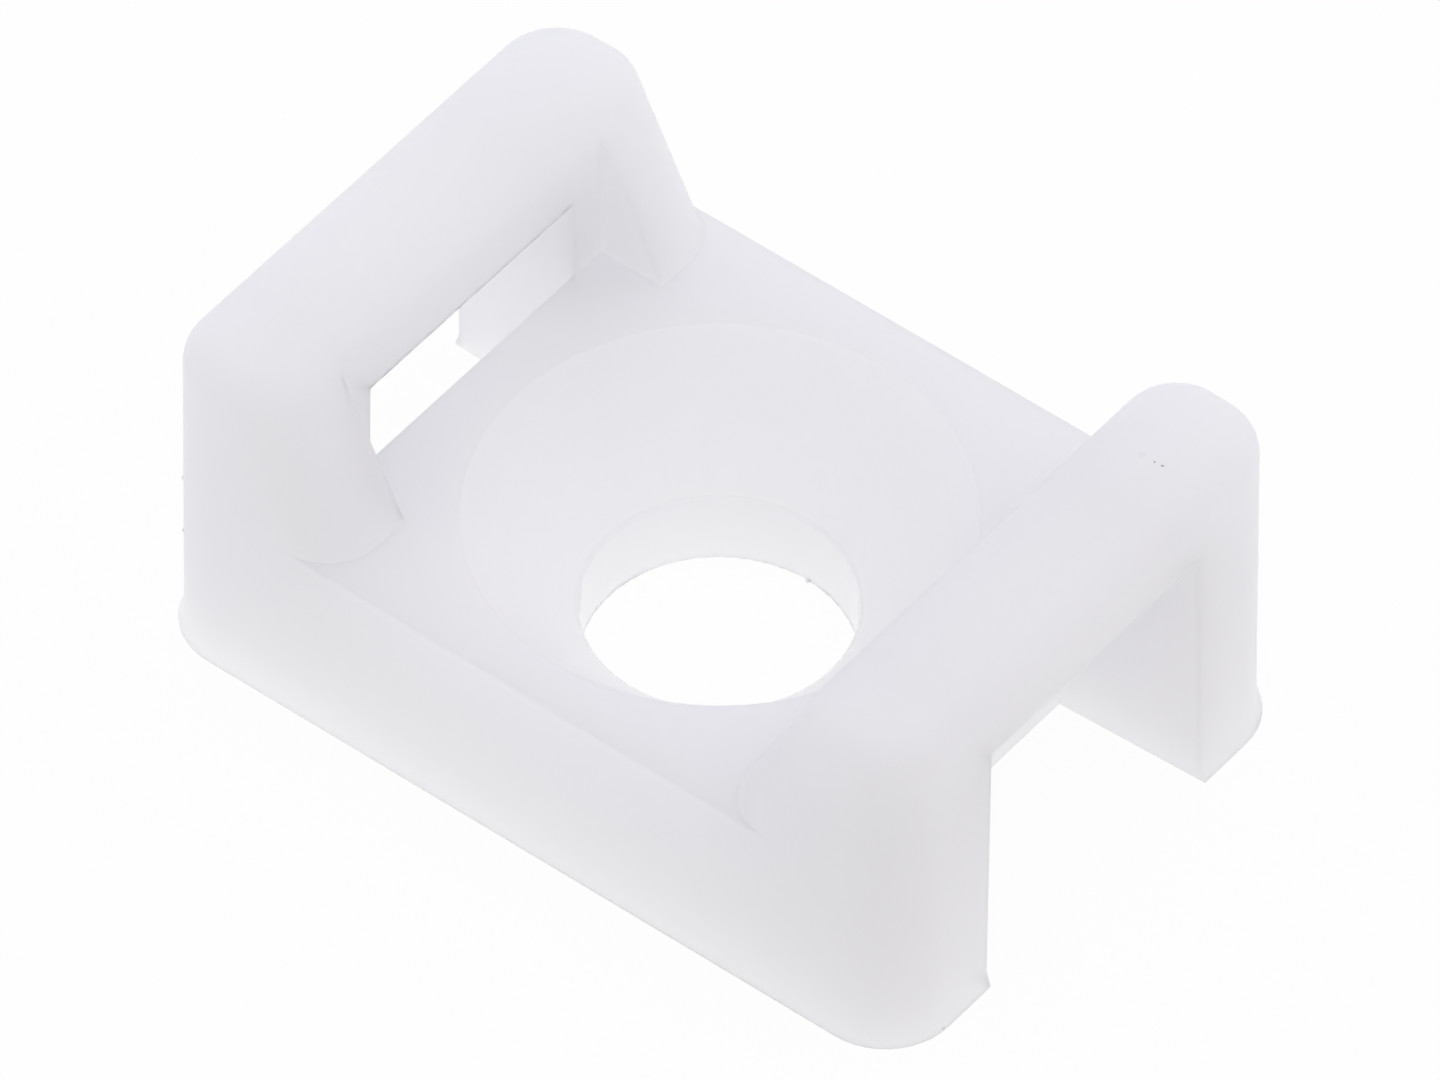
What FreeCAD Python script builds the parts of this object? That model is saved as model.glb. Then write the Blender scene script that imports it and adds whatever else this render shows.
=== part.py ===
import FreeCAD, Part
import math
import os

# Cable tie mount: a plate with a countersunk screw hole between two raised end posts.
# A tie runs through a passage at each end, below the bridge that joins a post's two legs.
# Millimetres, +Z up, origin at the middle of the underside, long side along X.

# Driving sizes
base_length = 15.0      # along X, over the foot lip
base_width = 10.0       # along Y, over the foot lip
floor_height = 3.42     # top of the plate between the posts
post_height = 6.37      # top of the posts
lip_reach = 0.095       # how far the foot lip stands out on each side
lip_height = 0.3        # the lip has faded into the walls by this height
wall_draft = 0.075      # how far the walls lean in on their way to the post tops
corner_radius = 1.16    # upright corners of the base and of the posts' outer side
inner_radius = 1.06     # upright corners of the posts' inner side
post_top = 2.4          # post thickness along X at its top
post_foot = 3.67        # thickness of its ends along X at the plate
post_round = 0.55       # rounding of the post's upper edges
seat_half = 3.2         # half width of the post's upright inner face, behind the tie
tie_half_foot = 2.7     # half width of the tie passage at the underside
tie_half_top = 2.59     # half width of the tie passage at its ceiling
tie_narrowing = 0.09    # the passage is narrower by this on each side at the plate's end
bridge_height = 1.35    # of the bridge that closes the passage above the tie
bridge_round = 0.15     # rounding of the bridge's lower outer edge
plate_lean = 0.22       # the plate's ends lean in this far towards the underside
hole_radius = 2.2       # through hole for the screw
sink_angle = 82.0       # full angle of the countersink, degrees
sink_margin = 0.818     # least plate left between the countersink's rim and a wall or a post
sink_round = 0.12       # softened rim of the countersink

# Sizes that follow
wall_x = base_length / 2 - lip_reach
wall_y = base_width / 2 - lip_reach
seat_x = wall_x - wall_draft - post_top
draft_rate = wall_draft / (post_height - lip_height)
plate_y = wall_y - draft_rate * (floor_height - lip_height)
tie_ceiling = post_height - bridge_height
sink_radius = min(seat_x, plate_y) - sink_margin
sink_depth = (sink_radius - hole_radius) / math.tan(math.radians(sink_angle / 2))
over = 1.0              # cutters run this far past the faces they open


def inset(z):
    """How far the leaning walls have moved in at height z."""
    return draft_rate * (z - lip_height)


def outline(x_low, x_high, y_half, low_radius, high_radius, z):
    """Closed wire at height z: a rectangle whose corners are rounded, by end."""
    low, high = x_low + low_radius, x_high - high_radius
    low_y, high_y = y_half - low_radius, y_half - high_radius
    low_rest, high_rest = [r * (1 - math.sqrt(0.5)) for r in (low_radius, high_radius)]

    def line(*ends):
        return Part.LineSegment(*[FreeCAD.Vector(x, y, z) for x, y in ends]).toShape()

    def arc(*points):
        return Part.Arc(*[FreeCAD.Vector(x, y, z) for x, y in points]).toShape()

    return Part.Wire([
        line((low, -y_half), (high, -y_half)),
        arc((high, -y_half), (x_high - high_rest, high_rest - y_half), (x_high, -high_y)),
        line((x_high, -high_y), (x_high, high_y)),
        arc((x_high, high_y), (x_high - high_rest, y_half - high_rest), (high, y_half)),
        line((high, y_half), (low, y_half)),
        arc((low, y_half), (x_low + low_rest, y_half - low_rest), (x_low, low_y)),
        line((x_low, low_y), (x_low, -low_y)),
        arc((x_low, -low_y), (x_low + low_rest, low_rest - y_half), (low, -y_half)),
    ])


def base_outline(moved_in, z):
    """Outline of the whole base, moved in from where the walls begin."""
    x_half, radius = wall_x - moved_in, corner_radius - moved_in
    return outline(-x_half, x_half, wall_y - moved_in, radius, radius, z)


def post_outline(x_inner, z):
    """Outline of the +X post from x_inner outwards, in line with the base walls."""
    low_radius, high_radius = inner_radius - inset(z), corner_radius - inset(z)
    return outline(x_inner, wall_x - inset(z), wall_y - inset(z), low_radius, high_radius, z)


def between(lower, upper):
    """Solid with straight walls between two wires."""
    return Part.makeLoft([lower, upper], True, True)


def rounded_post(x_foot):
    """The +X post whose inner face runs from x_foot at the plate up to the rounding at seat_x."""
    run, rise = seat_x + post_round - x_foot, post_height - post_round - floor_height
    slope = math.atan2(run, rise) - math.asin(post_round / math.hypot(run, rise))
    x_top = x_foot + (post_height - floor_height) * math.tan(slope)
    post = between(post_outline(x_foot, floor_height), post_outline(x_top, post_height))
    top_edges = [e for e in post.Edges if e.BoundBox.ZMin > post_height - 0.01]
    return post.makeFillet(post_round, top_edges)


def tie_section(x, narrowing):
    """Section of the tie passage at x, seen from the end."""
    slope = (tie_half_foot - tie_half_top) / tie_ceiling
    low, high = tie_half_foot + slope * over - narrowing, tie_half_top - narrowing
    points = [(-low, -over), (low, -over), (high, tie_ceiling), (-high, tie_ceiling), (-low, -over)]
    return Part.makePolygon([FreeCAD.Vector(x, y, z) for y, z in points])


def both_ends(shape):
    """The shape and its mirror image at the -X end."""
    return [shape, shape.mirror(FreeCAD.Vector(0, 0, 0), FreeCAD.Vector(1, 0, 0))]


# Base: a thin lip at the foot, then walls that lean in slightly
lip = between(base_outline(-lip_reach, 0), base_outline(0, lip_height))
plate = between(base_outline(0, lip_height), base_outline(inset(floor_height), floor_height))

# Posts: upright behind the tie, sloping out to the plate at both ends
middle = Part.makeBox(base_length, 2 * seat_half, post_height, FreeCAD.Vector(0, -seat_half, 0))
slopes = rounded_post(wall_x - inset(floor_height) - post_foot).cut(middle)
post = slopes.fuse(rounded_post(seat_x).common(middle))
body = lip.fuse([plate] + both_ends(post)).removeSplitter()

# Tie passages: open at the end and below, and over the plate under the bridge
side_points = [
    (wall_x + over, -over), (seat_x - plate_lean, -over), (seat_x - plate_lean, 0),
    (seat_x, floor_height), (seat_x, tie_ceiling), (wall_x + over, tie_ceiling), (wall_x + over, -over),
]
from_side = Part.Face(Part.makePolygon([FreeCAD.Vector(x, -wall_y, z) for x, z in side_points]))
from_side = from_side.extrude(FreeCAD.Vector(0, 2 * wall_y, 0))
widening = tie_narrowing / (wall_x - seat_x)
from_end = between(
    tie_section(seat_x - over, tie_narrowing + widening * over), tie_section(wall_x + over, -widening * over),
)
body = body.cut(both_ends(from_side.common(from_end)))
bridge_edges = [
    e for e in body.Edges
    if abs(e.BoundBox.Center.z - tie_ceiling) < 0.01 and abs(e.BoundBox.Center.x) > seat_x + over
    and e.BoundBox.YLength > tie_half_top
]
body = body.makeFillet(bridge_round, bridge_edges)

# Screw hole: a straight bore below, a cone above it, its rim softened
bore = Part.makeCylinder(hole_radius, floor_height + over, FreeCAD.Vector(0, 0, -over))
cone = Part.makeCone(hole_radius, sink_radius, sink_depth, FreeCAD.Vector(0, 0, floor_height - sink_depth))
body = body.cut([bore, cone])
rim_edges = [
    e for e in body.Edges
    if e.BoundBox.ZMin > floor_height - 0.01 and abs(e.BoundBox.YLength - 2 * sink_radius) < 0.01
]
body = body.makeFillet(sink_round, rim_edges)

os.makedirs("parts", exist_ok=True)
body.exportStep("parts/tie_mount.step")
print("tie_mount", body.isValid(), body.ShapeType, len(body.Solids), "volume", round(body.Volume, 2))
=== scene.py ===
import math

import bmesh
import bpy
import numpy as np
from mathutils import Matrix, Vector


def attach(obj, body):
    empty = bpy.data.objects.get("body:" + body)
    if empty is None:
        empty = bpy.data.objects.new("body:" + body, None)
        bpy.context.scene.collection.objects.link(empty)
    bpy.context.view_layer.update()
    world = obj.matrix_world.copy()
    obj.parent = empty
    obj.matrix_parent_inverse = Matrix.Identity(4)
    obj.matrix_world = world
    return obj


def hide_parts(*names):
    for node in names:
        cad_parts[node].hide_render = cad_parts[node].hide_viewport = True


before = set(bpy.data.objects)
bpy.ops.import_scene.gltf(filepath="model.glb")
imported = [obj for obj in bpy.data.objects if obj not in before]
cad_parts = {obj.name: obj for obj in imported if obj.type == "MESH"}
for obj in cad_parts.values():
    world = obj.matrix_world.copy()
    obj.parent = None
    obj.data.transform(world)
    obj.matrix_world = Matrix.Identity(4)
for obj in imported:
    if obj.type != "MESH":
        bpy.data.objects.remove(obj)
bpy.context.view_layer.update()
mm = 0.001
print("frame loaded:", sorted(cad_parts))


def feed(tree, socket, value):
    # a number, a vector, a colour of three numbers or another node's socket goes into one socket
    if isinstance(value, bpy.types.NodeSocket):
        tree.links.new(value, socket)
    elif socket.type == "RGBA":
        socket.default_value = (*value, 1)
    else:
        socket.default_value = value


def addNode(tree, kind, settings=None, **inputs):
    # one shader node, its properties from settings and its sockets from inputs by name
    node = tree.nodes.new(kind)
    for name, value in (settings or {}).items():
        setattr(node, name, value)
    for name, value in inputs.items():
        feed(tree, node.inputs[name.replace("_", " ")], value)
    return node


def mathNode(tree, operation, first, second):
    # first and second, each a number or a socket, put through one operation
    node = addNode(tree, "ShaderNodeMath", {"operation": operation})
    feed(tree, node.inputs[0], first)
    feed(tree, node.inputs[1], second)
    return node.outputs[0]


def vectorNode(tree, operation, *values):
    # the values, each a vector or a socket, put through one operation
    node = addNode(tree, "ShaderNodeVectorMath", {"operation": operation})
    for socket, value in zip(node.inputs, values):
        feed(tree, socket, value)
    return node


def mixShader(tree, share, first, second):
    # the first shader where share is 0, the second where it is 1
    node = tree.nodes.new("ShaderNodeMixShader")
    feed(tree, node.inputs[0], share)
    tree.links.new(first.outputs[0], node.inputs[1])
    tree.links.new(second.outputs[0], node.inputs[2])
    return node


# Camera
cameraView = {
    "azimuth": 38.337,      # degrees, 0 looks along +Y
    "elevation": 47.371,    # degrees above the floor
    "roll": 0.23,           # degrees
    "distance": 334.64,     # mm from the origin
    "right": 0.012,         # mm that the lens axis passes to the right of the origin
    "up": 1.885,            # mm that it passes above
    "lens": 535.4,          # mm on the sensor below
    "sensor": 36.0,         # mm wide
    "clip": (10, 10000),    # mm, nearest and farthest that it sees
}


def makeCamera(look):
    # back = direction from the object to the camera, right and up are turned by the roll about it
    azimuth, elevation, roll = [math.radians(look[k]) for k in ("azimuth", "elevation", "roll")]
    back = Vector((math.sin(azimuth) * math.cos(elevation), -math.cos(azimuth) * math.cos(elevation),
                   math.sin(elevation)))
    level = Vector((math.cos(azimuth), math.sin(azimuth), 0))
    upright = back.cross(level)
    right = math.cos(roll) * level + math.sin(roll) * upright
    up = math.cos(roll) * upright - math.sin(roll) * level
    data = bpy.data.cameras.new("photoCamera")
    data.sensor_fit = "HORIZONTAL"
    data.sensor_width = look["sensor"]
    data.lens = look["lens"]
    data.clip_start, data.clip_end = [mm * end for end in look["clip"]]
    camera = bpy.data.objects.new("photoCamera", data)
    bpy.context.scene.collection.objects.link(camera)
    place = mm * (look["distance"] * back + look["right"] * right + look["up"] * up)
    camera.matrix_world = Matrix.Translation(place) @ Matrix((right, up, back)).transposed().to_4x4()
    bpy.context.scene.camera = camera


makeCamera(cameraView)
print("camera made")


# Light and floor
roomLight = {
    "lobes": [                              # direction each comes from, and its light there
        ((0, 0, 1), (0.731, 0.712, 0.716)),
        ((-0.6, 0.6, 0.5), (0.042, 0.064, 0.161)),
        ((-1, 0, 0.25), (0.236, 0.252, 0.293)),
        ((-0.6, -0.6, 0.3), (0.241, 0.229, 0.207)),
        ((0.6, 0.6, 0.3), (0.607, 0.589, 0.591)),
    ],
    "floorGlow": (0.789, 0.774, 0.793),     # light that the white floor sends up
    "floorLeft": (0.137, 0.148, 0.154),     # more from the floor on the left
    "floorRun": 12,                         # mm from the middle to where that is all there, or gone
    "floorHalf": 600,                       # mm, half the floor's side
    "floorDrop": 0.03,                      # mm that it lies below the foot
    "paper": (0.95, 0.95, 0.96),            # the part of the floor that takes a shadow
    "shadow": 0.05,                         # its share
    "bounces": 5,                           # most bounces of a ray, the lobes are fitted to it
    "dullBounces": 3,                       # most of them off dull surfaces
}


def whiteToEye(tree):
    # 1 for what the camera sees straight, mirrored or through glass, otherwise 0
    path = tree.nodes.new("ShaderNodeLightPath")
    seen = mathNode(tree, "MAXIMUM", path.outputs["Is Camera Ray"], path.outputs["Is Glossy Ray"])
    return mathNode(tree, "MAXIMUM", seen, path.outputs["Is Transmission Ray"])


def lightRoom(look):
    # sky colour = the lobes added up, each by the cosine to its direction
    world = bpy.data.worlds.new("whiteRoom")
    bpy.context.scene.world = world
    world.use_nodes = True
    tree = world.node_tree
    tree.nodes.clear()
    direction = tree.nodes.new("ShaderNodeTexCoord").outputs["Generated"]
    colour = (0, 0, 0)
    for towards, light in look["lobes"]:
        cosine = vectorNode(tree, "DOT_PRODUCT", direction, Vector(towards).normalized())
        share = mathNode(tree, "MAXIMUM", cosine.outputs["Value"], 0.0)
        colour = vectorNode(tree, "MULTIPLY_ADD", share, light, colour).outputs[0]
    lit = addNode(tree, "ShaderNodeBackground", Color=colour, Strength=1.0)
    white = addNode(tree, "ShaderNodeBackground", Color=(1, 1, 1), Strength=1.0)
    both = mixShader(tree, whiteToEye(tree), lit, white)
    out = tree.nodes.new("ShaderNodeOutputWorld")
    tree.links.new(both.outputs[0], out.inputs["Surface"])
    world.cycles.sampling_method = "NONE"    # so even a sky needs no rays of its own
    bpy.context.scene.cycles.max_bounces = look["bounces"]
    bpy.context.scene.cycles.diffuse_bounces = look["dullBounces"]


def layFloor(look):
    # a flat white sheet that shines up, a little more on the left, seen as white with a faint shadow
    data = bpy.data.meshes.new("whiteFloor")
    half, z = look["floorHalf"] * mm, -look["floorDrop"] * mm
    corners = [(-half, -half, z), (half, -half, z), (half, half, z), (-half, half, z)]
    data.from_pydata(corners, [], [(0, 1, 2, 3)])
    floor = bpy.data.objects.new("whiteFloor", data)
    bpy.context.scene.collection.objects.link(floor)
    material = bpy.data.materials.new("whiteFloor")
    material.use_nodes = True
    tree = material.node_tree
    tree.nodes.clear()
    place = tree.nodes.new("ShaderNodeTexCoord").outputs["Object"]
    along = addNode(tree, "ShaderNodeSeparateXYZ", Vector=place).outputs["X"]
    run = look["floorRun"] * mm
    left = addNode(tree, "ShaderNodeMapRange", Value=along, From_Min=run, From_Max=-run)
    shine = vectorNode(tree, "MULTIPLY_ADD", left.outputs["Result"], look["floorLeft"], look["floorGlow"])
    glow = addNode(tree, "ShaderNodeEmission", Color=shine.outputs[0], Strength=1.0)
    plain = addNode(tree, "ShaderNodeEmission", Color=(1, 1, 1), Strength=1.0)
    paper = addNode(tree, "ShaderNodeBsdfDiffuse", Color=look["paper"])
    toEye = mixShader(tree, look["shadow"], plain, paper)
    both = mixShader(tree, whiteToEye(tree), glow, toEye)
    out = tree.nodes.new("ShaderNodeOutputMaterial")
    tree.links.new(both.outputs[0], out.inputs["Surface"])
    data.materials.append(material)
    material.cycles.emission_sampling = "NONE"    # nor does so large a floor


lightRoom(roomLight)
layFloor(roomLight)
print("light and floor made")


# Moulded body
bodyLook = {
    "merge": 0.0002,                        # mm, corners closer than this are one
    "flat": 0.2,                            # degrees, faces that meet at less than this are joined
    "sharp": 24,                            # degrees, and at more than this they form an edge
    "edge": 0.2,                            # mm, softness of the moulded edges
    "edgeRays": 2,                          # rays that feel for an edge
    "colour": (0.90, 0.895, 0.91),          # milky uncoloured nylon
    "varies": 0.010,                        # how much, lighter and darker
    "floorShadeColour": (0.81, 0.81, 0.83),      # painted shade: between the posts, a little darker
    "floorUp": (0.7, 0.98),                 # how far up a face looks, none of that painted shade to all
    "floorTop": (3.44, 3.52),               # mm above the foot, all of it to none
    "coneLightColour": (0.99, 0.985, 0.99),      # painted light: paler where the wall thins towards the hole, as if lit through it from below
    "cone": (2.3, 4.4),                     # mm from the axis, all of that painted light to none
    "ior": 1.53,                            # of nylon
    "scatter": 1.0,                         # share of the light that goes in
    "depth": 8.0,                           # mm that light travels inside
    "gloss": (0.34, 0.46),                  # lowest and highest roughness
    "glossClouds": (0.2, 0.8),              # values of the clouds there
    "boreGloss": 0.12,                      # roughness of the bore, left by a polished pin
    "bore": (2.22, 2.3),                    # mm from the axis, bore to cone
    "clouds": {"size": 3.1, "detail": 2.0},                                      # mm across
    "grain": {"size": 0.16, "detail": 1.0, "strength": 0.25, "height": 0.006},   # mm across and high
    "waves": {"size": 2.4, "detail": 0.0, "strength": 0.5, "height": 0.05},      # likewise, and shallow
    "specks": [                             # mm, each speck's place and radius, and how dark it is
        ((6.25, 2.855, 6.37), 0.022, 0.75),
        ((6.385, 2.864, 6.37), 0.022, 0.75),
        ((6.405, 2.871, 6.37), 0.022, 0.7),
        ((6.0, 2.856, 6.37), 0.085, 0.05),
        ((7.441, 2.69, 0.37), 0.022, 0.8),
        ((0.065, 2.175, 0.02), 0.04, 0.85),
        ((7.497, -3.846, 0.05), 0.03, 0.8),
        ((-6.861, -4.838, 0.03), 0.035, 0.3),
    ],
    "speckColour": (0.10, 0.10, 0.10),
    "speckCore": 0.5,                       # share of a speck's radius that is all dark
}


def makeNylon(name, look):
    # colour = base by soft clouds, darker on the floor as painted shade, paler in the cone as painted
    # light, dark in specks;
    # normal = that of edges rounded off, then shallow waves over fine grain
    material = bpy.data.materials.new(name)
    material.use_nodes = True
    tree = material.node_tree
    shader = tree.nodes["Principled BSDF"]
    coordinates = tree.nodes.new("ShaderNodeTexCoord")
    place = coordinates.outputs["Object"]

    def noise(cloud):
        # a cloudy number between 0 and 1
        node = addNode(tree, "ShaderNodeTexNoise", Vector=place, Scale=1 / (cloud["size"] * mm),
                       Detail=cloud["detail"])
        return node.outputs["Fac"]

    def blend(share, first, second):
        # the first colour where share is 0, the second where it is 1
        node = addNode(tree, "ShaderNodeMix", {"data_type": "RGBA"}, Factor=share)
        feed(tree, node.inputs[6], first)
        feed(tree, node.inputs[7], second)
        return node.outputs[2]

    def ramp(value, start, end, first=0.0, last=1.0):
        # a smooth step, first where value is start and last where it is end
        node = addNode(tree, "ShaderNodeMapRange", {"interpolation_type": "SMOOTHSTEP"}, Value=value,
                       From_Min=start, From_Max=end, To_Min=first, To_Max=last)
        return node.outputs["Result"]

    def bump(relief, normal):
        # the normal tilted by the slope of a noise
        node = addNode(tree, "ShaderNodeBump", Height=noise(relief), Strength=relief["strength"],
                       Distance=relief["height"] * mm, Normal=normal)
        return node.outputs[0]

    acrossAxis = vectorNode(tree, "MULTIPLY", place, (1, 1, 0)).outputs[0]
    radius = vectorNode(tree, "LENGTH", acrossAxis).outputs["Value"]
    height = addNode(tree, "ShaderNodeSeparateXYZ", Vector=place).outputs["Z"]
    facing = addNode(tree, "ShaderNodeSeparateXYZ", Vector=coordinates.outputs["Normal"]).outputs["Z"]
    cone, bore, floorTop = [[mm * end for end in look[k]] for k in ("cone", "bore", "floorTop")]

    clouds = noise(look["clouds"])
    dim, pale = [[part + sign * look["varies"] for part in look["colour"]] for sign in (-1, 1)]
    colour = blend(clouds, dim, pale)
    # painted shade: faces that look up on the floor between the posts are made darker
    shadedFloor = mathNode(tree, "MULTIPLY", ramp(facing, *look["floorUp"]), ramp(height, *floorTop, 1.0, 0.0))
    colour = blend(shadedFloor, colour, look["floorShadeColour"])
    # painted light: the cone is made paler towards the hole
    colour = blend(ramp(radius, *cone), look["coneLightColour"], colour)
    for middle, size, darkness in look["specks"]:
        gap = vectorNode(tree, "DISTANCE", place, mm * Vector(middle)).outputs["Value"]
        inSpeck = ramp(gap, look["speckCore"] * size * mm, size * mm, darkness, 0.0)
        colour = blend(inSpeck, colour, look["speckColour"])
    tree.links.new(colour, shader.inputs["Base Color"])

    gloss = addNode(tree, "ShaderNodeMix", {"data_type": "FLOAT"}, Factor=ramp(radius, *bore, 1.0, 0.0))
    feed(tree, gloss.inputs[2], ramp(clouds, *look["glossClouds"], *look["gloss"]))
    feed(tree, gloss.inputs[3], look["boreGloss"])
    tree.links.new(gloss.outputs[0], shader.inputs["Roughness"])
    shader.inputs["IOR"].default_value = look["ior"]
    shader.inputs["Subsurface Weight"].default_value = look["scatter"]
    shader.inputs["Subsurface Radius"].default_value = (1.0, 1.0, 1.0)    # red, green and blue alike
    shader.inputs["Subsurface Scale"].default_value = look["depth"] * mm

    rounded = addNode(tree, "ShaderNodeBevel", {"samples": look["edgeRays"]}, Radius=look["edge"] * mm)
    normal = bump(look["waves"], bump(look["grain"], rounded.outputs[0]))
    tree.links.new(normal, shader.inputs["Normal"])
    return material


def makeBody(look, material):
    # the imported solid's own surface, its flats joined, smooth except where two faces meet at an edge
    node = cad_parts["tie_mount"]
    mesh = bmesh.new()
    mesh.from_mesh(node.data)
    bmesh.ops.remove_doubles(mesh, verts=mesh.verts, dist=look["merge"] * mm)
    flat = math.radians(look["flat"])
    bmesh.ops.dissolve_limit(mesh, angle_limit=flat, verts=mesh.verts, edges=mesh.edges)
    data = bpy.data.meshes.new("nylonBody")
    mesh.to_mesh(data)
    mesh.free()
    data.polygons.foreach_set("use_smooth", np.ones(len(data.polygons), bool))
    data.set_sharp_from_angle(angle=math.radians(look["sharp"]))
    data.materials.clear()
    data.materials.append(material)
    body = bpy.data.objects.new("nylonBody", data)
    bpy.context.scene.collection.objects.link(body)
    even = body.modifiers.new("evenShade", "WEIGHTED_NORMAL")
    even.keep_sharp = True
    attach(body, "root")
    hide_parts("tie_mount")
    return body


body = makeBody(bodyLook, makeNylon("naturalNylon", bodyLook))
print("body made:", len(body.data.polygons), "faces")


# Burrs left by the mould
flashLook = {
    "flakes": [                             # mm, each burr's middle and its half sizes along X, Y and Z
        ((-7.13, -4.44, 1.94), (0.035, 0.035, 0.04)),
        ((-7.13, -4.43, 3.14), (0.03, 0.03, 0.035)),
        ((7.455, -3.87, 0.04), (0.035, 0.04, 0.035)),
        ((0.05, 2.175, 0.03), (0.04, 0.045, 0.028)),
    ],
    "look": {"scatter": 0, "edge": 0},      # in place of the body's
    "uneven": 0.18,                         # how much a burr swells and dips
    "lumps": 3,                             # swellings round it
    "round": 20,                            # faces round it
    "tall": 10,                             # and from pole to pole
}


def makeFlash(look, material):
    # each burr = an ellipsoid whose width is 1 + uneven sin(lumps turn + its number) sin(2 rise)
    around, tall = look["round"], look["tall"]
    turn = np.linspace(0, 2 * np.pi, around, endpoint=False)[None, :]
    rise = np.linspace(0, np.pi, tall + 1)[1:-1, None]
    ring = np.arange(around)
    ahead = np.roll(ring, -1)
    rows = around * np.arange(tall - 2)[:, None]
    sides = np.stack([rows + ring, rows + around + ring, rows + around + ahead, rows + ahead], -1)
    lowest, pole = around * (tall - 2), around * (tall - 1)    # where the last ring and the poles begin
    upper = np.stack([np.full(around, pole), ring, ahead], -1)
    lower = np.stack([np.full(around, pole + 1), lowest + ahead, lowest + ring], -1)
    points, faces = [], []
    for number, (middle, half) in enumerate(look["flakes"]):
        wide = 1 + look["uneven"] * np.sin(look["lumps"] * turn + number) * np.sin(2 * rise)
        wide = wide * np.sin(rise)
        shell = np.stack(np.broadcast_arrays(wide * np.cos(turn), wide * np.sin(turn), np.cos(rise)), -1)
        shell = np.vstack([shell.reshape(-1, 3), [(0, 0, 1), (0, 0, -1)]])
        points.append(mm * (np.array(middle) + shell * half))
        for strip in (sides.reshape(-1, 4), upper, lower):
            faces += (number * len(shell) + strip).tolist()
    data = bpy.data.meshes.new("mouldFlash")
    data.from_pydata(np.vstack(points).tolist(), [], faces)
    data.polygons.foreach_set("use_smooth", np.ones(len(data.polygons), bool))
    data.materials.append(material)
    flash = bpy.data.objects.new("mouldFlash", data)
    bpy.context.scene.collection.objects.link(flash)
    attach(flash, "root")
    return flash


flash = makeFlash(flashLook, makeNylon("flashNylon", {**bodyLook, **flashLook["look"]}))
print("burrs made:", len(flash.data.polygons), "faces")

bpy.context.scene.view_settings.view_transform = "Standard"
